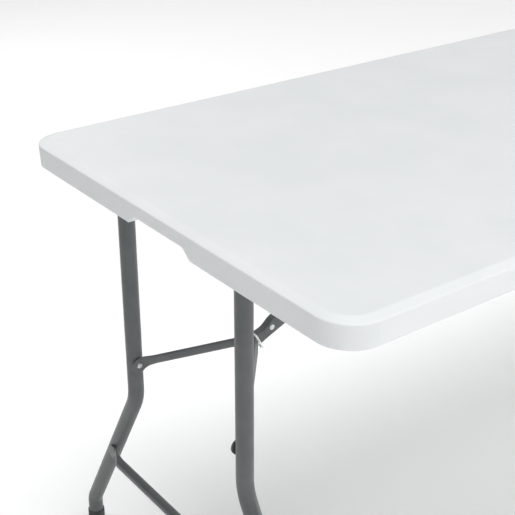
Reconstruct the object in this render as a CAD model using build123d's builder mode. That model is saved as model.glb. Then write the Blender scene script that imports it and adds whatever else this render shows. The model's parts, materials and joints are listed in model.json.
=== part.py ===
from build123d import *
import math
import os

# Folding table: a blow-moulded top on two pairs of folding tube legs.
# Frame: millimetres, +X along the length, +Z up, origin on the floor under the middle of the top.
# The hardware of the left (-X) end is modelled, and the right end is its mirror image.

# Top
table_length = 1829.0
table_width = 762.0
table_height = 737.0
corner_radius = 52.4
bevel_width = 14.6
bevel_height = 4.4
skirt_depth = 38.8
skirt_thickness = 16.0
side_draft = 1.3
panel_thickness = 16.8
skin = 3.0
rim_round = 2.5
crown_round = 8.0
hem_round = 1.8
cavity_round = 4.0

# Hand-hold notch in the middle of each end skirt
notch_half_flat = 60.0
notch_half_mouth = 77.5
notch_roof_drop = 23.6
notch_corner_round = 6.0

# Kiss-offs, the moulded dimples where the underside reaches up to the top skin
dimple_pitch_x = 96.0
dimple_pitch_y = 92.0
dimple_count_x = 19
dimple_count_y = 8
dimple_mouth_radius = 13.0
dimple_floor_radius = 6.0

# Legs
pivot_inset = 37.0
pivot_drop = 32.4
pivot_half_length = 200.0
leg_radius = 12.7
leg_wall = 1.5
leg_half_gap = 145.2
leg_splay = 29.5
leg_bend_radius = 76.0
upper_bend_drop = 376.4
lower_bend_height = 55.6
weld_relief = 4.0
crossbar_drop = 514.9
crossbar_radius = 8.0
crossbar_wall = 1.2
crossbar_plate_half_height = 12.0
plate_flat = 10.0
plate_easing = 26.0
cap_wall = 1.8
cap_floor = 3.6
cap_height = 30.0

# Folding brace of each end, in the upright plane y = 0
arm_pivot_drop = 278.0
brace_angle = 27.0
link_thickness = 3.0
link_half_height = 8.0
link_neck_half_height = 5.2
link_neck_length = 46.0
link_eye_radius = 10.0
arm_half_height = 8.8
arm_half_thickness = 3.4
arm_wall = 1.2
arm_plate = 2.4
arm_plate_gap = 0.35
arm_foot_half_height = 12.5
arm_foot_flat = 5.0
arm_foot_bend = 9.0
arm_foot_neck = (2.2, 11.0)
arm_knee_half_height = 5.2
arm_knee_flat = 28.7
arm_knee_bend = 30.5
arm_knee_neck = (1.9, 7.4)
arm_easing = 20.0
rivet_radius = 3.0
rivet_head_radius = 4.5
rivet_head_height = 1.1
rivet_head_taper = 30.0
running_clearance = 0.05
ring_wire_radius = 1.5
ring_gap = 1.8
ring_half_width = 8.4
ring_top = 12.3
ring_bottom = 13.8
ring_corner_radius = 4.2

# Side profile of the knee bracket: places along the brace from the rivet, heights from its line
bracket_wall = 1.5
bracket_tail = 26.8
bracket_nose = 22.0
bracket_tail_depth = 8.9
bracket_nose_depth = 12.1
bracket_tail_height = 9.0
bracket_lip_place = 21.0
bracket_lip_height = 8.6
bracket_dip_place = 12.4
bracket_dip_height = 7.4
bracket_hump_place = 1.5
bracket_hump_height = 10.3
bracket_nose_height = 7.4

# Fixings
clip_thickness = 2.3
clip_width = 30.0
clip_position = 177.0
clip_flange = 45.0
clip_screw_reach = 32.0
clip_screw_step = 8.0
base_thickness = 2.5
base_corner_radius = 4.0
anchor_base_half = 22.0
anchor_screw_step = 14.0
anchor_pin_radius = 4.0
anchor_pin_head_height = 1.6
ear_thickness = 2.0
ear_gap = 0.5
screw_radius = 2.5
screw_head_radius = 4.5
screw_head_height = 2.4
screw_head_taper = 12.0
screw_length = 12.5
screw_boss_radius = 6.0

# Half of the height window in which edges count as lying at one level
level_window = 0.1

# Levels and places that follow from the dimensions above
rim_z = table_height - bevel_height
hem_z = table_height - skirt_depth
underside_z = table_height - panel_thickness
pivot_x = pivot_inset - table_length / 2
pivot_z = table_height - pivot_drop

slope = (math.cos(math.radians(brace_angle)), math.sin(math.radians(brace_angle)))
arm_foot = (pivot_x, pivot_z - arm_pivot_drop)
brace_length = arm_pivot_drop / slope[1]
anchor_reach = brace_length * slope[0]
# Folded flat, the pivot, knee, arm foot and anchor lie in one line, which fixes the link's length.
link_length = (brace_length + anchor_reach - arm_pivot_drop) / 2
arm_length = brace_length - link_length
anchor_x = pivot_x + anchor_reach
anchor = (anchor_x, pivot_z)
knee = (arm_foot[0] + arm_length * slope[0], arm_foot[1] + arm_length * slope[1])

clip_screw_rows = [side * clip_position + end * clip_screw_step for side in (-1, 1) for end in (-1, 1)]
clip_screw_sites = [(pivot_x + clip_screw_reach, y) for y in clip_screw_rows]
anchor_screw_steps = (-anchor_screw_step, anchor_screw_step)
anchor_screw_sites = [(anchor_x + dx, dy) for dx in anchor_screw_steps for dy in anchor_screw_steps]

dimple_depth = panel_thickness - 2 * skin
dimple_taper = math.degrees(math.atan((dimple_mouth_radius - dimple_floor_radius) / dimple_depth))

# Distances from the middle plane of the brace to the plates of the arms and the bracket's cheeks
plate_inner = link_thickness / 2 + arm_plate_gap
plate_middle = plate_inner + arm_plate / 2
plate_outer = plate_inner + arm_plate
cheek_inner = plate_outer + arm_plate_gap
cheek_outer = cheek_inner + bracket_wall


def save(piece, name):
    """Label one finished piece and write its STEP file."""
    piece.label = name
    export_step(piece, f"parts/{name}.step")


def save_both_ends(piece, name):
    """Write a piece of the left end and its mirror image at the right end."""
    save(piece, f"left_{name}")
    with BuildPart() as opposite:
        mirror(piece, about=Plane.YZ)
    save(opposite.part, f"right_{name}")


def save_all_corners(piece, name):
    """Write a back (+Y) piece and its front (-Y) mirror image, at both ends."""
    save_both_ends(piece, f"{name}_back")
    with BuildPart() as front:
        mirror(piece, about=Plane.XZ)
    save_both_ends(front.part, f"{name}_front")


def upright_plane(point, y=0.0):
    """Plane parallel to XZ through an (x, z) point: local X is +X and local Y is +Z."""
    return Plane(origin=(point[0], y, point[1]), x_dir=(1, 0, 0), z_dir=(0, -1, 0))


def sloped_plane(point, y=0.0):
    """Like upright_plane, but local X runs up the slope of the folding brace."""
    return Plane(origin=(point[0], y, point[1]), x_dir=(slope[0], 0, slope[1]), z_dir=(0, -1, 0))


def across_brace(along, y, turn=0.0):
    """Plane across the brace at a distance from the arm's foot: local X is across, local Y is up."""
    lean = math.radians(turn)
    origin = (arm_foot[0] + along * slope[0], y, arm_foot[1] + along * slope[1])
    ahead = (math.cos(lean) * slope[0], math.sin(lean), math.cos(lean) * slope[1])
    across = (-math.sin(lean) * slope[0], math.cos(lean), -math.sin(lean) * slope[1])
    return Plane(origin=origin, x_dir=across, z_dir=ahead)


def outline(inset):
    """Plan outline of the top, moved inwards; call it inside a BuildSketch."""
    RectangleRounded(table_length - 2 * inset, table_width - 2 * inset, corner_radius - inset)


def make_inner_void():
    """Air space between the two skins of the top, round the kiss-offs and the screw bosses."""
    skirt_outer = skin + side_draft
    skirt_inner = skirt_thickness - skin
    with BuildPart() as void:
        with BuildSketch(Plane.XY.offset(underside_z + skin)):
            outline(bevel_width)
        extrude(amount=panel_thickness - 2 * skin)
        with BuildSketch(Plane.XY.offset(hem_z + skin)):
            outline(skirt_outer)
            RectangleRounded(
                table_length - 2 * skirt_inner,
                table_width - 2 * skirt_inner,
                corner_radius - skirt_inner,
                mode=Mode.SUBTRACT,
            )
        extrude(amount=rim_z - hem_z - 2 * skin)
        with BuildSketch(Plane.XY.offset(hem_z)):
            with Locations((-table_length / 2, 0), (table_length / 2, 0)):
                Rectangle(2 * (skirt_thickness + skin), 2 * (notch_half_mouth + 2 * skin))
        extrude(amount=rim_z - hem_z, mode=Mode.SUBTRACT)
        with BuildSketch(Plane.XY.offset(underside_z)):
            with GridLocations(dimple_pitch_x, dimple_pitch_y, dimple_count_x, dimple_count_y):
                Circle(dimple_mouth_radius + skin)
        extrude(amount=panel_thickness - skin, taper=dimple_taper, mode=Mode.SUBTRACT)
        with BuildSketch(Plane.XY.offset(underside_z)):
            for x, y in clip_screw_sites + anchor_screw_sites:
                with Locations((x, y), (-x, y)):
                    Circle(screw_boss_radius)
        extrude(amount=panel_thickness, mode=Mode.SUBTRACT)
    return void.part


def make_table_top():
    """Double-walled top with a bevelled rim, a skirt all round and a dimpled underside."""
    with BuildPart() as top:
        with BuildSketch(Plane.XY.offset(hem_z)):
            outline(side_draft)
        with BuildSketch(Plane.XY.offset(rim_z)):
            outline(0)
        loft(ruled=True)
        with BuildSketch(Plane.XY.offset(rim_z)):
            outline(0)
        with BuildSketch(Plane.XY.offset(table_height)):
            outline(bevel_width)
        loft(ruled=True)
        rim_edges = top.edges().filter_by_position(Axis.Z, rim_z - level_window, rim_z + level_window)
        fillet(rim_edges, rim_round)
        fillet(top.edges().group_by(Axis.Z)[-1], crown_round)
        with BuildSketch(Plane.XY.offset(hem_z)):
            outline(skirt_thickness)
        extrude(amount=underside_z - hem_z, mode=Mode.SUBTRACT)
        cavity_level = (underside_z - level_window, underside_z + level_window)
        fillet(top.edges().filter_by_position(Axis.Z, *cavity_level), cavity_round)
        fillet(top.edges().group_by(Axis.Z)[0], hem_round)
        with BuildSketch(Plane.YZ) as notch:
            with BuildLine():
                Polyline(
                    (-notch_half_mouth - skirt_thickness, hem_z - skirt_thickness),
                    (-notch_half_mouth - skirt_thickness, hem_z),
                    (-notch_half_mouth, hem_z),
                    (-notch_half_flat, table_height - notch_roof_drop),
                    (notch_half_flat, table_height - notch_roof_drop),
                    (notch_half_mouth, hem_z),
                    (notch_half_mouth + skirt_thickness, hem_z),
                    (notch_half_mouth + skirt_thickness, hem_z - skirt_thickness),
                    close=True,
                )
            make_face()
            bends = notch.vertices().filter_by_position(Axis.X, -notch_half_mouth, notch_half_mouth)
            fillet(bends, notch_corner_round)
        extrude(amount=table_length, both=True, mode=Mode.SUBTRACT)
        with BuildSketch(Plane.XY.offset(underside_z)):
            with GridLocations(dimple_pitch_x, dimple_pitch_y, dimple_count_x, dimple_count_y):
                Circle(dimple_mouth_radius)
        extrude(amount=dimple_depth, taper=dimple_taper, mode=Mode.SUBTRACT)
        with BuildSketch(Plane.XY.offset(underside_z)):
            for x, y in clip_screw_sites + anchor_screw_sites:
                with Locations((x, y), (-x, y)):
                    Circle(screw_radius)
        extrude(amount=screw_length - base_thickness, mode=Mode.SUBTRACT)
        add(make_inner_void(), mode=Mode.SUBTRACT)
    save(top.part, "table_top")


def make_pivot_tube():
    """Cross tube that the two legs of one end hang from and swing about."""
    with BuildPart() as tube:
        with BuildSketch(upright_plane((pivot_x, pivot_z))):
            Circle(leg_radius)
            Circle(leg_radius - leg_wall, mode=Mode.SUBTRACT)
        extrude(amount=pivot_half_length, both=True)
    save_both_ends(tube.part, "pivot_tube")


def make_leg_tube():
    """Leg tube: straight down, splayed outwards, then straight down again to the floor."""
    upper_bend_z = table_height - upper_bend_drop
    foot_y = leg_half_gap + (upper_bend_z - lower_bend_height) * math.tan(math.radians(leg_splay))
    with BuildPart() as leg:
        with BuildLine(Plane.YZ.offset(pivot_x)) as route:
            FilletPolyline(
                (leg_half_gap, pivot_z - weld_relief),
                (leg_half_gap, upper_bend_z),
                (foot_y, lower_bend_height),
                (foot_y, cap_floor),
                radius=[leg_bend_radius, leg_bend_radius / 2],
            )
        with BuildSketch(Plane(origin=route.line @ 0, z_dir=route.line % 0)):
            Circle(leg_radius)
            Circle(leg_radius - leg_wall, mode=Mode.SUBTRACT)
        sweep(path=route.line)
        with BuildSketch(upright_plane((pivot_x, pivot_z))):
            Circle(leg_radius)
        extrude(amount=pivot_half_length, both=True, mode=Mode.SUBTRACT)
    save_all_corners(leg.part, "leg_tube")
    return foot_y


def make_foot_cap(foot_y):
    """Plastic cap pushed over the lower end of a leg tube."""
    with BuildPart() as cap:
        with BuildSketch(Plane(origin=(pivot_x, foot_y, 0))):
            Circle(leg_radius + cap_wall)
        extrude(amount=cap_height)
        fillet(cap.edges().group_by(Axis.Z)[0], cap_wall)
        fillet(cap.edges().group_by(Axis.Z)[-1], cap_wall / 2)
        with BuildSketch(Plane(origin=(pivot_x, foot_y, cap_floor))):
            Circle(leg_radius)
        extrude(amount=cap_height, mode=Mode.SUBTRACT)
    save_all_corners(cap.part, "foot_cap")


def make_crossbar():
    """Lower bar: a tube whose flattened ends lie on the outer faces of the two legs of one end."""
    bar_z = table_height - crossbar_drop
    bar_x = pivot_x - leg_radius - crossbar_radius
    plate_x = pivot_x - leg_radius - arm_plate / 2
    drop_below_bend = crossbar_drop - upper_bend_drop
    end_y = leg_half_gap + drop_below_bend * math.tan(math.radians(leg_splay))
    plate_y = end_y - crossbar_plate_half_height
    with BuildPart() as bar:
        with BuildSketch(upright_plane((bar_x, bar_z))):
            Circle(crossbar_radius)
            Circle(crossbar_radius - crossbar_wall, mode=Mode.SUBTRACT)
        extrude(amount=-(plate_y - plate_flat - plate_easing))
        with BuildSketch(upright_plane((bar_x, bar_z), plate_y - plate_flat - plate_easing)):
            Circle(crossbar_radius)
        with BuildSketch(upright_plane((plate_x, bar_z), plate_y - plate_flat)):
            Ellipse(arm_plate / 2, crossbar_plate_half_height)
        loft(ruled=True)
        with BuildSketch(Plane(origin=(plate_x, plate_y, bar_z), x_dir=(0, 1, 0), z_dir=(1, 0, 0))):
            Circle(crossbar_plate_half_height)
            Rectangle(plate_flat, 2 * crossbar_plate_half_height, align=(Align.MAX, Align.CENTER))
        extrude(amount=arm_plate / 2, both=True)
        mirror(about=Plane.XZ)
    save_both_ends(bar.part, "leg_crossbar")


def make_pivot_clip():
    """Steel clip that wraps the pivot tube and is screwed up against the panel."""
    with BuildPart() as clip:
        with BuildSketch(upright_plane((pivot_x, pivot_z), clip_position)):
            Circle(leg_radius + running_clearance + clip_thickness)
        extrude(amount=clip_width / 2, both=True)
        with BuildSketch(Plane.XY.offset(underside_z)):
            with Locations((pivot_x, clip_position)):
                Rectangle(clip_flange, clip_width, align=(Align.MIN, Align.CENTER))
        extrude(amount=-base_thickness)
        with BuildSketch(upright_plane((pivot_x, pivot_z), clip_position)):
            Circle(leg_radius + running_clearance)
        extrude(amount=clip_width / 2, both=True, mode=Mode.SUBTRACT)
        with BuildSketch(Plane.XY.offset(underside_z)):
            with Locations(*clip_screw_sites):
                Circle(screw_radius)
        extrude(amount=-base_thickness, mode=Mode.SUBTRACT)
    save_all_corners(clip.part, "pivot_clip")


def make_screws(seats, name, length=screw_length):
    """Pan-head screws as one group; each seat plane faces the way its head stands out."""
    with BuildPart() as screws:
        for seat in seats:
            with BuildSketch(seat):
                Circle(screw_head_radius)
            extrude(amount=screw_head_height, taper=screw_head_taper)
            with BuildSketch(seat):
                Circle(screw_radius)
            extrude(amount=-length)
        for seat in seats:
            with BuildSketch(seat.offset(screw_head_height)):
                Rectangle(screw_radius * 2, screw_radius / 2)
                Rectangle(screw_radius / 2, screw_radius * 2)
            extrude(amount=-screw_head_height / 2, mode=Mode.SUBTRACT)
    save_both_ends(screws.part, name)


def make_fixing_screws():
    """Screws that hold the pivot clips and the anchor bracket to the panel."""
    seat_z = underside_z - base_thickness
    for sites, name in ((clip_screw_sites, "pivot_screws"), (anchor_screw_sites, "anchor_screws")):
        make_screws([Plane(origin=(x, y, seat_z), z_dir=(0, 0, -1)) for x, y in sites], name)


def make_anchor_bracket():
    """Forked bracket under the panel that the brace link pivots in."""
    ear_inner = link_thickness / 2 + ear_gap
    ear_outer = ear_inner + ear_thickness
    with BuildPart() as bracket:
        with BuildSketch(Plane.XY.offset(underside_z)):
            with Locations((anchor_x, 0)):
                RectangleRounded(2 * anchor_base_half, 2 * anchor_base_half, base_corner_radius)
        extrude(amount=-base_thickness)
        with BuildSketch(upright_plane(anchor)):
            Circle(link_eye_radius)
            Rectangle(2 * link_eye_radius, underside_z - pivot_z, align=(Align.CENTER, Align.MIN))
        extrude(amount=ear_outer, both=True)
        with BuildSketch(Plane.XY.offset(underside_z - base_thickness)):
            with Locations((anchor_x, 0)):
                Rectangle(2 * anchor_base_half, 2 * ear_inner)
        extrude(amount=-2 * link_eye_radius - anchor_base_half, mode=Mode.SUBTRACT)
        with BuildSketch(upright_plane(anchor)):
            Circle(anchor_pin_radius)
        extrude(amount=ear_outer, both=True, mode=Mode.SUBTRACT)
        with BuildSketch(Plane.XY.offset(underside_z)):
            with Locations(*anchor_screw_sites):
                Circle(screw_radius)
        extrude(amount=-base_thickness, mode=Mode.SUBTRACT)
    save_both_ends(bracket.part, "anchor_bracket")
    return ear_outer


def make_anchor_pin(ear_outer):
    """Headed pin through the ears of the anchor bracket and the eye of the link."""
    with BuildPart() as pin:
        with BuildSketch(upright_plane(anchor)):
            Circle(anchor_pin_radius)
        extrude(amount=ear_outer, both=True)
        for side in (-1, 1):
            with BuildSketch(upright_plane(anchor, side * ear_outer)):
                Circle(anchor_pin_radius + ear_thickness)
            extrude(amount=-side * anchor_pin_head_height)
    save_both_ends(pin.part, "anchor_pin")


def make_link_bar():
    """Flat bar from the knee to the anchor pin, with a narrower neck inside the knee bracket."""
    with BuildPart() as link:
        with BuildSketch(sloped_plane(knee)):
            with Locations((link_length / 2, 0)):
                SlotCenterToCenter(link_length, 2 * link_neck_half_height)
            with Locations(((link_length + link_neck_length) / 2, 0)):
                SlotCenterToCenter(link_length - link_neck_length, 2 * link_half_height)
            with Locations((link_length, 0)):
                Circle(link_eye_radius)
                Circle(anchor_pin_radius + running_clearance, mode=Mode.SUBTRACT)
            Circle(rivet_radius, mode=Mode.SUBTRACT)
        extrude(amount=link_thickness / 2, both=True)
    save_both_ends(link.part, "link_bar")


def make_knee_bracket():
    """Channel over the knee: two cheeks with the arms between them, and a humped web on top."""
    with BuildPart() as bracket:
        with BuildSketch(sloped_plane(knee)):
            with BuildLine():
                Polyline(
                    (-bracket_tail, bracket_tail_height),
                    (-bracket_tail, -bracket_tail_depth),
                    (bracket_nose, -bracket_nose_depth),
                    (bracket_nose, bracket_nose_height),
                )
                Spline(
                    (bracket_nose, bracket_nose_height),
                    (bracket_hump_place, bracket_hump_height),
                    (-bracket_dip_place, bracket_dip_height),
                    (-bracket_lip_place, bracket_lip_height),
                    (-bracket_tail, bracket_tail_height),
                )
            make_face()
        extrude(amount=cheek_outer, both=True)
        with BuildSketch(sloped_plane(knee)):
            with Locations((0, bracket_dip_height - bracket_wall)):
                Rectangle(4 * bracket_tail, 4 * bracket_tail, align=(Align.CENTER, Align.MAX))
        extrude(amount=cheek_inner, both=True, mode=Mode.SUBTRACT)
        with BuildSketch(sloped_plane(knee)):
            Circle(rivet_radius)
        extrude(amount=cheek_outer, both=True, mode=Mode.SUBTRACT)
    save_both_ends(bracket.part, "knee_bracket")


def make_knee_rivet():
    """Rivet through the cheeks, both arms and the link, with a low domed head each side."""
    with BuildPart() as rivet:
        with BuildSketch(sloped_plane(knee)):
            Circle(rivet_radius)
        extrude(amount=cheek_outer, both=True)
        for side in (-1, 1):
            with BuildSketch(sloped_plane(knee, side * cheek_outer)):
                Circle(rivet_head_radius)
            extrude(amount=-side * rivet_head_height, taper=rivet_head_taper)
    save_both_ends(rivet.part, "knee_rivet")


def make_lock_ring():
    """Coated wire ring that slides over the knee bracket to lock the brace straight."""
    middle = (ring_top - ring_bottom) / 2
    half_height = (ring_top + ring_bottom) / 2 + ring_wire_radius
    half_width = ring_half_width + ring_wire_radius
    along = arm_length - bracket_tail - ring_gap - ring_wire_radius
    with BuildPart() as ring:
        with BuildSketch(across_brace(along, 0)) as loop:
            with Locations((0, middle)):
                RectangleRounded(2 * half_width, 2 * half_height, ring_corner_radius)
        route = loop.sketch.face().outer_wire()
        with BuildSketch(Plane(origin=route @ 0, z_dir=route % 0)) as wire:
            Circle(ring_wire_radius)
        sweep(sections=wire.sketch, path=route, mode=Mode.REPLACE)
    save_both_ends(ring.part, "lock_ring")


def make_brace_arm():
    """Arm of the V-shaped brace: an oval tube flattened to a plate at the leg and at the knee."""
    foot_y = leg_half_gap - leg_radius - arm_plate_gap - arm_plate / 2
    knee_bend = arm_length - arm_knee_bend
    knee_flat = arm_length - arm_knee_flat
    lean = math.atan2(foot_y - plate_middle, knee_bend - arm_foot_bend)
    turn = math.degrees(lean)
    run = math.hypot(foot_y - plate_middle, knee_bend - arm_foot_bend)

    def on_run(distance):
        return arm_foot_bend + distance * math.cos(lean), foot_y - distance * math.sin(lean)

    tube_start = across_brace(*on_run(arm_easing), -turn)
    with BuildPart() as arm:
        with BuildSketch(tube_start):
            Ellipse(arm_half_thickness, arm_half_height)
            Ellipse(arm_half_thickness - arm_wall, arm_half_height - arm_wall, mode=Mode.SUBTRACT)
        extrude(amount=run - 2 * arm_easing)
        with BuildSketch(across_brace(arm_foot_flat, foot_y)):
            Ellipse(arm_plate / 2, arm_foot_half_height)
        with BuildSketch(across_brace(*on_run(arm_foot_flat), -turn / 2)):
            Ellipse(*arm_foot_neck)
        with BuildSketch(tube_start):
            Ellipse(arm_half_thickness, arm_half_height)
        loft(ruled=True)
        with BuildSketch(across_brace(*on_run(run - arm_easing), -turn)):
            Ellipse(arm_half_thickness, arm_half_height)
        with BuildSketch(across_brace(*on_run(run - arm_foot_flat), -turn / 2)):
            Ellipse(*arm_knee_neck)
        with BuildSketch(across_brace(knee_flat, plate_middle)):
            Ellipse(arm_plate / 2, arm_knee_half_height)
        loft(ruled=True)
        with BuildSketch(sloped_plane(arm_foot, foot_y)):
            Circle(arm_foot_half_height)
            Circle(screw_radius, mode=Mode.SUBTRACT)
        extrude(amount=arm_plate / 2, both=True)
        with BuildSketch(sloped_plane(knee, plate_middle)):
            Circle(arm_knee_half_height)
            Rectangle(arm_knee_flat, 2 * arm_knee_half_height, align=(Align.MAX, Align.CENTER))
            Circle(rivet_radius + running_clearance, mode=Mode.SUBTRACT)
        extrude(amount=arm_plate / 2, both=True)
    save_all_corners(arm.part, "brace_arm")
    return foot_y


def make_arm_screws(foot_y):
    """Screws at the feet of the arms, headed on the inner side of the legs."""
    seats = [
        Plane(
            origin=(arm_foot[0], side * (foot_y - arm_plate / 2), arm_foot[1]),
            x_dir=(1, 0, 0),
            z_dir=(0, -side, 0),
        )
        for side in (-1, 1)
    ]
    make_screws(seats, "arm_screws", length=arm_plate)


os.makedirs("parts", exist_ok=True)
make_table_top()
make_pivot_tube()
make_foot_cap(make_leg_tube())
make_crossbar()
make_pivot_clip()
make_fixing_screws()
make_anchor_pin(make_anchor_bracket())
make_link_bar()
make_knee_bracket()
make_knee_rivet()
make_lock_ring()
make_arm_screws(make_brace_arm())
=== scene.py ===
"""Looks of the folding table: camera, light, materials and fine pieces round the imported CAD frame."""

import json
import math

import bmesh
import bpy
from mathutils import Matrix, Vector


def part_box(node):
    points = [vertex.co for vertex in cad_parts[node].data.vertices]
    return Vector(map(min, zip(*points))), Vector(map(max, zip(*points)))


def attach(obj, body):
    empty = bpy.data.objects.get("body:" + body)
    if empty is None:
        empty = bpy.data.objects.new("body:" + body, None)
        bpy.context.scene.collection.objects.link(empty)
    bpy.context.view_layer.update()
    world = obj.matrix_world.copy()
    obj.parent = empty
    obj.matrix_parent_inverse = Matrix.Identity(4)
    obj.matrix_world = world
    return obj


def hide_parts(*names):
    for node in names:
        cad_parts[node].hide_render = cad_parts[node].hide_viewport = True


# Camera
CAMERA_PLACE = Vector((-1.6043, -1.1452, 1.3299))
CAMERA_YAW = math.radians(36.82)
CAMERA_PITCH = math.radians(26.20)
CAMERA_LENS = 77.02
SENSOR = 36.0

# Soft lamps: place, target, size in metres, and watts
LAMPS = {
    "front_right": ((0.3, -3.3, 3.2), (-0.4, 0.0, 0.6), 2.4, 37),
    "low_right": ((3.0, -0.8, 0.6), (-0.8, 0.0, 0.4), 1.6, 50),
    "front_left": ((-2.0, -2.9, 2.2), (-0.7, -0.1, 0.5), 2.4, 29),
    "rear": ((-0.2, 3.4, 2.4), (-0.6, 0.0, 0.6), 2.2, 22),
}
OVERHEAD_STRENGTH = 2.35
OVERHEAD_SPREAD = math.radians(40)

# Sky: a pale haze up to HAZE_LOW above the horizon, which fades into a dark sky at HAZE_HIGH
HAZE_TONE = (0.85, 0.85, 0.85)
SKY_TONE = (0.03, 0.03, 0.03)
HAZE_LOW = math.radians(4)
HAZE_HIGH = math.radians(8)

# Floor
FLOOR_SIZE = 60.0
FLOOR_TONE = (0.80, 0.80, 0.80, 1.0)
FLOOR_ROUGHNESS = 0.9
FLOOR_GLOW = 0.18

MM = 0.001
ENDS = ("left", "right")

# Screws
HEAD_RADIUS = 4.5 * MM
HEAD_HEIGHT = 2.4 * MM
HEAD_FLATNESS = 3.2
HEAD_FALL = 0.6
HEAD_STEPS = 64
HEAD_ROWS = 26
SHANK_RADIUS = 2.45 * MM
ARM_SHANK = 2.4 * MM
CLIP_SCREW_STEP = 8.0 * MM
RECESS_REACH = 2.7 * MM
RECESS_HALF_WIDTH = 0.62 * MM
RECESS_SOFTNESS = 0.22 * MM
RECESS_DEPTH = 1.5 * MM
RECESS_RAMP = 0.45

# Knee rivets
RIVET_HEAD_HEIGHT = 1.1 * MM
RIVET_SHANK_SHARE = 0.67
RIVET_STEPS = 48
DOME_ANGLES = [math.radians(a) for a in (15, 30, 45, 60, 72, 82, 90)]

# Foot caps: the sole and the lip are (distance in from the wall, height) points
CAP_WALL = 1.75 * MM
CAP_FLOOR = 3.6 * MM
CAP_SOLE = ((2.2 * MM, 0.0), (0.6 * MM, 0.6 * MM), (0.0, 2.2 * MM))
CAP_LIP = ((0.0, -1.2 * MM), (0.4 * MM, -0.3 * MM), (1.1 * MM, 0.0))
CAP_FIRST_GROOVE = 6.0 * MM
CAP_GROOVES = 5
CAP_GROOVE_PITCH = 4.2 * MM
CAP_GROOVE_DEPTH = 0.7 * MM
CAP_GROOVE_EASE = 0.5 * MM
CAP_GROOVE_FLAT = 0.8 * MM
CAP_STEPS = 64

# Weld beads
WELD_RADIUS = 1.7 * MM
WELD_EASE = 2.0 * MM
WELD_RIPPLES = 30
WELD_RIPPLE_SHARE = 0.14
WELD_STEPS = 120
WELD_SIDES = 10
WELD_REFERENCE = Vector((0.31, 0.17, 0.94))

# Pressed and cut pieces, which get broken edges
PRESSED = (
    "knee_bracket",
    "link_bar",
    "pivot_clip_front",
    "pivot_clip_back",
    "anchor_bracket",
    "leg_crossbar",
    "brace_arm_front",
    "brace_arm_back",
)
BROKEN_EDGE = 0.35 * MM
MERGE_DISTANCE = 0.002 * MM
FLAT_ANGLE = math.radians(0.5)
SHARP_ANGLE = math.radians(40)


def new_material(name):
    """A node material: returns it with its node tree and its Principled shader."""
    material = bpy.data.materials.new(name)
    material.use_nodes = True
    tree = material.node_tree
    return material, tree, tree.nodes["Principled BSDF"]


def add_node(tree, kind, **inputs):
    """A node of that kind, with sockets set by name."""
    node = tree.nodes.new(kind)
    for key, value in inputs.items():
        node.inputs[key].default_value = value
    return node


def noise(tree, scale, detail=3.0):
    """Noise factor over object coordinates, which are metres in the shared frame."""
    place = tree.nodes.get("Texture Coordinate") or tree.nodes.new("ShaderNodeTexCoord")
    node = add_node(tree, "ShaderNodeTexNoise", Scale=scale, Detail=detail, Roughness=0.5)
    tree.links.new(place.outputs["Object"], node.inputs["Vector"])
    return node.outputs["Fac"]


def ramp(tree, source, low, high):
    """Colour that runs between two (position, colour) stops of a factor."""
    node = tree.nodes.new("ShaderNodeValToRGB")
    for element, (position, colour) in zip(node.color_ramp.elements, (low, high)):
        element.position = position
        element.color = (*colour, 1.0)
    tree.links.new(source, node.inputs["Fac"])
    return node.outputs["Color"]


def add_bump(tree, shader, layers):
    """Chained bumps from (height socket, strength, distance in metres) layers."""
    normal = None
    for height, strength, distance in layers:
        node = add_node(tree, "ShaderNodeBump", Strength=strength, Distance=distance)
        tree.links.new(height, node.inputs["Height"])
        if normal:
            tree.links.new(normal, node.inputs["Normal"])
        normal = node.outputs["Normal"]
    tree.links.new(normal, shader.inputs["Normal"])


def roughness_range(tree, shader, source, low, high):
    """Roughness that varies from low to high with a factor."""
    node = tree.nodes.new("ShaderNodeMapRange")
    node.inputs["To Min"].default_value = low
    node.inputs["To Max"].default_value = high
    tree.links.new(source, node.inputs["Value"])
    tree.links.new(node.outputs["Result"], shader.inputs["Roughness"])


def moulded_plastic():
    """Light grey polyethylene with the fine pebble of a blow mould."""
    material, tree, shader = new_material("moulded_plastic")
    place = tree.nodes.new("ShaderNodeTexCoord")
    pebble = tree.nodes.new("ShaderNodeTexVoronoi")
    pebble.feature = "SMOOTH_F1"
    pebble.inputs["Scale"].default_value = 520.0
    pebble.inputs["Randomness"].default_value = 0.9
    tree.links.new(place.outputs["Object"], pebble.inputs["Vector"])
    mottle = noise(tree, 9.0, 2.0)
    colour = ramp(tree, mottle, (0.35, (0.775, 0.797, 0.803)), (0.65, (0.800, 0.820, 0.826)))
    tree.links.new(colour, shader.inputs["Base Color"])
    roughness_range(tree, shader, noise(tree, 60.0), 0.42, 0.56)
    sag = noise(tree, 6.0, 1.0)
    add_bump(tree, shader, [(sag, 0.12, 0.004), (pebble.outputs["Distance"], 0.35, 0.00025)])
    shader.inputs["IOR"].default_value = 1.5
    return material


def powder_coat():
    """Dark grey satin powder coat with its orange peel."""
    material, tree, shader = new_material("powder_coat")
    tone = noise(tree, 40.0, 4.0)
    colour = ramp(tree, tone, (0.3, (0.089, 0.097, 0.098)), (0.7, (0.108, 0.117, 0.118)))
    tree.links.new(colour, shader.inputs["Base Color"])
    roughness_range(tree, shader, noise(tree, 220.0), 0.30, 0.44)
    add_bump(tree, shader, [(noise(tree, 900.0, 2.0), 0.25, 0.0002)])
    return material


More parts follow.
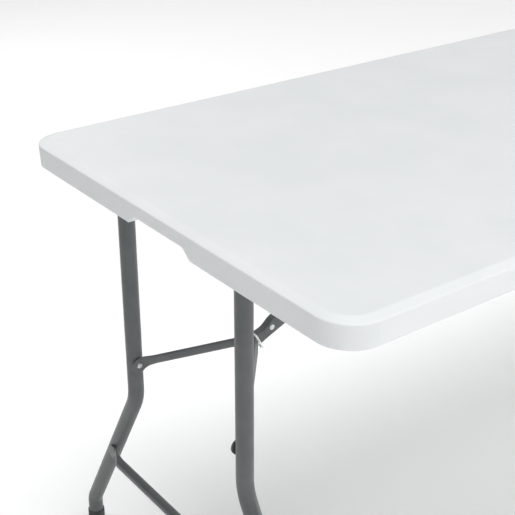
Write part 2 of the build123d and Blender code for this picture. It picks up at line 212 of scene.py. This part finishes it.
def zinc():
    """Bright zinc plate with a faint rolled grain."""
    material, tree, shader = new_material("zinc_plate")
    tone = noise(tree, 130.0, 4.0)
    colour = ramp(tree, tone, (0.3, (0.58, 0.60, 0.62)), (0.7, (0.74, 0.75, 0.76)))
    tree.links.new(colour, shader.inputs["Base Color"])
    shader.inputs["Metallic"].default_value = 1.0
    roughness_range(tree, shader, noise(tree, 400.0), 0.22, 0.38)
    add_bump(tree, shader, [(noise(tree, 1200.0), 0.15, 0.0001)])
    return material


def cap_plastic():
    """Soft dark plastic of the foot caps, scuffed."""
    material, tree, shader = new_material("cap_plastic")
    tone = noise(tree, 90.0, 5.0)
    colour = ramp(tree, tone, (0.35, (0.035, 0.036, 0.038)), (0.75, (0.065, 0.067, 0.070)))
    tree.links.new(colour, shader.inputs["Base Color"])
    roughness_range(tree, shader, noise(tree, 300.0), 0.5, 0.75)
    add_bump(tree, shader, [(noise(tree, 700.0), 0.3, 0.0002)])
    return material


def ring_coating():
    """White vinyl over the wire of the lock rings."""
    material, tree, shader = new_material("ring_coating")
    tone = noise(tree, 200.0)
    colour = ramp(tree, tone, (0.3, (0.90, 0.90, 0.89)), (0.7, (0.96, 0.96, 0.95)))
    tree.links.new(colour, shader.inputs["Base Color"])
    roughness_range(tree, shader, noise(tree, 500.0), 0.25, 0.40)
    return material


def paint(piece, material):
    """Give an object one material, in every slot."""
    if not piece.data.materials:
        piece.data.materials.append(material)
    for slot in piece.material_slots:
        slot.material = material


def add_piece(name, bm, body, finish, nodes=()):
    """Turn a bmesh into an object that rides on a body, wears a finish and stands for CAD nodes."""
    mesh = bpy.data.meshes.new(name)
    bmesh.ops.recalc_face_normals(bm, faces=bm.faces)
    bm.to_mesh(mesh)
    bm.free()
    mesh.shade_smooth()
    mesh.set_sharp_from_angle(angle=SHARP_ANGLE)
    piece = bpy.data.objects.new(name, mesh)
    bpy.context.scene.collection.objects.link(piece)
    paint(piece, finishes[finish])
    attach(piece, body)
    if nodes:
        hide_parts(*nodes)


def corners(node):
    """Low and high corners of a CAD node's box."""
    low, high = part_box(node)
    return Vector(low), Vector(high)


def middle_of(node):
    """Middle of a CAD node's box."""
    low, high = corners(node)
    return (low + high) / 2


def towards(direction):
    """Rotation that turns +Z towards a direction."""
    return Vector((0, 0, 1)).rotation_difference(Vector(direction)).to_matrix()


def full_turn(steps):
    """Angles that go once round in even steps."""
    return [2 * math.pi * k / steps for k in range(steps)]


def skin_between(bm, lower, upper):
    """Join two closed rings of vertices with quads."""
    count = len(lower)
    for i in range(count):
        j = (i + 1) % count
        bm.faces.new((lower[i], lower[j], upper[j], upper[i]))


def turned(bm, profile, foot, axis, steps):
    """Solid of revolution from (radius, height) points that start and end on the axis."""
    turn = towards(axis)
    tips = [bm.verts.new(Vector(foot) + turn @ Vector((0, 0, profile[i][1]))) for i in (0, -1)]
    rings = []
    for radius, height in profile[1:-1]:
        spots = [Vector((radius * math.cos(a), radius * math.sin(a), height)) for a in full_turn(steps)]
        rings.append([bm.verts.new(Vector(foot) + turn @ spot) for spot in spots])
    for lower, upper in zip(rings, rings[1:]):
        skin_between(bm, lower, upper)
    for i in range(steps):
        j = (i + 1) % steps
        bm.faces.new((tips[0], rings[0][j], rings[0][i]))
        bm.faces.new((tips[1], rings[-1][i], rings[-1][j]))


def softened(node):
    """Copy of a CAD node with its sheet-metal edges broken."""
    bm = bmesh.new()
    bm.from_mesh(frame["nodes"][node].data)
    bmesh.ops.remove_doubles(bm, verts=bm.verts, dist=MERGE_DISTANCE)
    bmesh.ops.dissolve_limit(bm, angle_limit=FLAT_ANGLE, verts=bm.verts, edges=bm.edges)
    sharp = [edge for edge in bm.edges if edge.is_manifold and edge.calc_face_angle() > SHARP_ANGLE]
    bmesh.ops.bevel(
        bm,
        geom=sharp,
        offset=BROKEN_EDGE,
        segments=2,
        profile=0.5,
        affect="EDGES",
        clamp_overlap=True,
    )
    return bm


def recess_depth(x, y):
    """Depth of a cross recess below the dome of a screw head."""
    along, across = max(abs(x), abs(y)), min(abs(x), abs(y))
    if along >= RECESS_REACH:
        return 0.0
    edge = min(1.0, max(0.0, (RECESS_HALF_WIDTH - across) / RECESS_SOFTNESS))
    return RECESS_DEPTH * edge * min(1.0, (RECESS_REACH - along) / (RECESS_REACH * RECESS_RAMP))


def screw_head(bm, seat, outward, shank):
    """Pan-head screw with a cross recess, its head standing outward from the seat."""
    turn = towards(outward)

    def place(radius, angle, height=None):
        x, y = radius * math.cos(angle), radius * math.sin(angle)
        if height is None:
            dome = HEAD_HEIGHT * (1.0 - (radius / HEAD_RADIUS) ** HEAD_FLATNESS) ** HEAD_FALL
            height = dome - recess_depth(x, y)
        return bm.verts.new(Vector(seat) + turn @ Vector((x, y, height)))

    angles = full_turn(HEAD_STEPS)
    radii = [HEAD_RADIUS * row / HEAD_ROWS for row in range(1, HEAD_ROWS + 1)]
    rings = [[place(radius, angle) for angle in angles] for radius in radii]
    rings.append([place(SHANK_RADIUS, angle, 0.0) for angle in angles])
    rings.append([place(SHANK_RADIUS, angle, -shank) for angle in angles])
    for inner, outer in zip(rings, rings[1:]):
        skin_between(bm, outer, inner)
    top, tip = place(0.0, 0.0), place(0.0, 0.0, -shank)
    for i in range(HEAD_STEPS):
        j = (i + 1) % HEAD_STEPS
        bm.faces.new((top, rings[0][i], rings[0][j]))
        bm.faces.new((tip, rings[-1][j], rings[-1][i]))


def make_pivot_screws(end):
    """Two screws under each pivot clip."""
    node = f"{end}_pivot_screws"
    low, high = corners(node)
    bm = bmesh.new()
    for side in ("front", "back"):
        across = middle_of(f"{end}_pivot_clip_{side}").y
        for step in (-CLIP_SCREW_STEP, CLIP_SCREW_STEP):
            seat = ((low.x + high.x) / 2, across + step, low.z + HEAD_HEIGHT)
            screw_head(bm, seat, (0, 0, -1), high.z - low.z - HEAD_HEIGHT)
    add_piece(f"{end}_pivot_screw_heads", bm, "top", "zinc_steel", [node])


def make_anchor_screws(end):
    """A screw at each corner of the anchor bracket's base."""
    node = f"{end}_anchor_screws"
    low, high = corners(node)
    bm = bmesh.new()
    for x in (low.x + HEAD_RADIUS, high.x - HEAD_RADIUS):
        for y in (low.y + HEAD_RADIUS, high.y - HEAD_RADIUS):
            screw_head(bm, (x, y, low.z + HEAD_HEIGHT), (0, 0, -1), high.z - low.z - HEAD_HEIGHT)
    add_piece(f"{end}_anchor_screw_heads", bm, "top", "zinc_steel", [node])


def make_arm_screws(end):
    """The screw through each arm's foot, its head towards the middle of the table."""
    node = f"{end}_arm_screws"
    low, high = corners(node)
    bm = bmesh.new()
    for side, tip in ((-1, low.y), (1, high.y)):
        seat = ((low.x + high.x) / 2, tip - side * ARM_SHANK, (low.z + high.z) / 2)
        screw_head(bm, seat, (0, -side, 0), ARM_SHANK)
    add_piece(f"{end}_arm_screw_heads", bm, f"{end}_brace", "zinc_steel", [node])


def make_rivet(end):
    """Knee rivet with a domed head each side."""
    node = f"{end}_knee_rivet"
    low, high = corners(node)
    radius = (high.z - low.z) / 2
    half = (high.y - low.y) / 2
    neck = half - RIVET_HEAD_HEIGHT
    dome = [(radius * math.sin(t), neck + RIVET_HEAD_HEIGHT * math.cos(t)) for t in DOME_ANGLES]
    upper = [(0.0, half)] + dome + [(radius * RIVET_SHANK_SHARE, neck)]
    profile = upper + [(r, -h) for r, h in reversed(upper)]
    bm = bmesh.new()
    turned(bm, profile, middle_of(node), (0, 1, 0), RIVET_STEPS)
    add_piece(f"{end}_rivet_domes", bm, f"{end}_link", "zinc_steel", [node])


def cap_profile(radius, height):
    """Half section of a foot cap, from the middle of its sole to the middle of its bore's floor."""
    profile = [(0.0, 0.0)] + [(radius - inward, up) for inward, up in CAP_SOLE]
    for k in range(CAP_GROOVES):
        base = CAP_FIRST_GROOVE + k * CAP_GROOVE_PITCH
        floor_start = base + CAP_GROOVE_EASE
        floor_end = floor_start + CAP_GROOVE_FLAT
        profile += [
            (radius, base),
            (radius - CAP_GROOVE_DEPTH, floor_start),
            (radius - CAP_GROOVE_DEPTH, floor_end),
            (radius, floor_end + CAP_GROOVE_EASE),
        ]
    profile += [(radius - inward, height + up) for inward, up in CAP_LIP]
    bore = radius - CAP_WALL
    return profile + [(bore, height), (bore, CAP_FLOOR), (0.0, CAP_FLOOR)]


def make_foot_caps(end):
    """Grooved plastic caps over the feet."""
    for side in ("front", "back"):
        node = f"{end}_foot_cap_{side}"
        low, high = corners(node)
        middle = middle_of(node)
        bm = bmesh.new()
        profile = cap_profile((high.x - low.x) / 2, high.z - low.z)
        turned(bm, profile, (middle.x, middle.y, low.z), (0, 0, 1), CAP_STEPS)
        add_piece(f"{end}_ribbed_cap_{side}", bm, f"{end}_legs", "foot_plastic", [node])


def weld_bead(bm, path):
    """Closed bead of weld along a loop of points, with the ripples that the torch leaves."""
    rings = []
    count = len(path)
    for i, spot in enumerate(path):
        ahead = (path[(i + 1) % count] - path[i - 1]).normalized()
        side = ahead.cross(WELD_REFERENCE).normalized()
        up = side.cross(ahead)
        ripple = abs(math.sin(math.pi * WELD_RIPPLES * i / count))
        swell = WELD_RADIUS * (1.0 - WELD_RIPPLE_SHARE + WELD_RIPPLE_SHARE * ripple)
        ring = [spot + swell * (math.cos(a) * side + math.sin(a) * up) for a in full_turn(WELD_SIDES)]
        rings.append([bm.verts.new(point) for point in ring])
    for lower, upper in zip(rings, rings[1:] + rings[:1]):
        skin_between(bm, lower, upper)


def make_leg_welds(end):
    """Weld beads on the saddle curves where the legs meet the pivot tube."""
    pivot = middle_of(f"{end}_pivot_tube")
    low, high = corners(f"{end}_pivot_tube")
    radius = (high.z - low.z) / 2
    for side, way in (("front", -1), ("back", 1)):
        leg_low, leg_high = corners(f"{end}_leg_tube_{side}")
        inner = leg_low.y if way > 0 else leg_high.y
        middle = inner + way * radius
        path = []
        for angle in full_turn(WELD_STEPS):
            across = radius * math.sin(angle)
            drop = math.hypot(across, WELD_EASE)
            path.append(Vector((pivot.x + radius * math.cos(angle), middle + across, pivot.z - drop)))
        bm = bmesh.new()
        weld_bead(bm, path)
        add_piece(f"{end}_pivot_weld_{side}", bm, f"{end}_legs", "powder_coat")


def soften_hardware(end):
    """Pressed and cut metal pieces with their edges broken."""
    for kind in PRESSED:
        node = f"{end}_{kind}"
        add_piece(f"{node}_shaped", softened(node), bodies[node], slots[node], [node])


def add_area_light(name, place, target, size, power):
    """Soft square light that looks at a point."""
    data = bpy.data.lights.new(name, "AREA")
    data.size = size
    data.energy = power
    lamp = bpy.data.objects.new(name, data)
    lamp.location = place
    lamp.rotation_euler = (Vector(target) - Vector(place)).to_track_quat("-Z", "Y").to_euler()
    bpy.context.scene.collection.objects.link(lamp)


def add_sun(name, strength, spread):
    """Light that falls straight down, the same over the whole floor."""
    data = bpy.data.lights.new(name, "SUN")
    data.energy = strength
    data.angle = spread
    bpy.context.scene.collection.objects.link(bpy.data.objects.new(name, data))


def make_sky():
    """Dark sky with a pale haze at the horizon."""
    world = bpy.data.worlds.new("studio")
    bpy.context.scene.world = world
    world.use_nodes = True
    tree = world.node_tree
    place = tree.nodes.new("ShaderNodeTexCoord")
    split = tree.nodes.new("ShaderNodeSeparateXYZ")
    tree.links.new(place.outputs["Generated"], split.inputs["Vector"])
    haze = (math.sin(HAZE_LOW), HAZE_TONE)
    sky = (math.sin(HAZE_HIGH), SKY_TONE)
    colour = ramp(tree, split.outputs["Z"], haze, sky)
    tree.links.new(colour, tree.nodes["Background"].inputs["Color"])


def make_floor():
    """Pale floor that glows a little, so it stays near white."""
    bpy.ops.mesh.primitive_plane_add(size=FLOOR_SIZE)
    floor = bpy.context.object
    floor.name = "studio_floor"
    material, _, shader = new_material("studio_floor")
    shader.inputs["Base Color"].default_value = FLOOR_TONE
    shader.inputs["Roughness"].default_value = FLOOR_ROUGHNESS
    shader.inputs["Emission Color"].default_value = (1.0, 1.0, 1.0, 1.0)
    shader.inputs["Emission Strength"].default_value = FLOOR_GLOW
    paint(floor, material)


def make_camera():
    """Camera that looks along its yaw and pitch."""
    data = bpy.data.cameras.new("camera")
    data.sensor_width = SENSOR
    data.lens = CAMERA_LENS
    camera = bpy.data.objects.new("camera", data)
    camera.location = CAMERA_PLACE
    level = math.cos(CAMERA_PITCH)
    ahead = Vector((math.sin(CAMERA_YAW) * level, math.cos(CAMERA_YAW) * level, -math.sin(CAMERA_PITCH)))
    camera.rotation_euler = ahead.to_track_quat("-Z", "Y").to_euler()
    bpy.context.scene.collection.objects.link(camera)
    bpy.context.scene.camera = camera


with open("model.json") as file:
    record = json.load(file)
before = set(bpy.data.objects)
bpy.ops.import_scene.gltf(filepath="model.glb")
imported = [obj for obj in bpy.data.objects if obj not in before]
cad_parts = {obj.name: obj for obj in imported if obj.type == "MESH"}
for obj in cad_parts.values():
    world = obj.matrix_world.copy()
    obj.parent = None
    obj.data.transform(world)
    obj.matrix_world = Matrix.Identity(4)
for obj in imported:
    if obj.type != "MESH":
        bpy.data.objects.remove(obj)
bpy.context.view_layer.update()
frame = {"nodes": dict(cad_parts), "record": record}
slots = {entry["node"]: entry["material_slot"] for entry in frame["record"]["subparts"]}
groups = frame["record"]["behaviour"]["bodies"]
bodies = {node: body for body, members in groups.items() for node in members}

bpy.context.scene.view_settings.view_transform = "Standard"
make_sky()
make_floor()
for name, (place, target, size, power) in LAMPS.items():
    add_area_light(name, place, target, size, power)
add_sun("overhead", OVERHEAD_STRENGTH, OVERHEAD_SPREAD)
make_camera()

finishes = {
    "moulded_top": moulded_plastic(),
    "powder_coat": powder_coat(),
    "zinc_steel": zinc(),
    "foot_plastic": cap_plastic(),
    "ring_coating": ring_coating(),
}
for node, slot in slots.items():
    paint(frame["nodes"][node], finishes[slot])

for end in ENDS:
    make_pivot_screws(end)
    make_anchor_screws(end)
    make_arm_screws(end)
    make_rivet(end)
    make_foot_caps(end)
    make_leg_welds(end)
    soften_hardware(end)
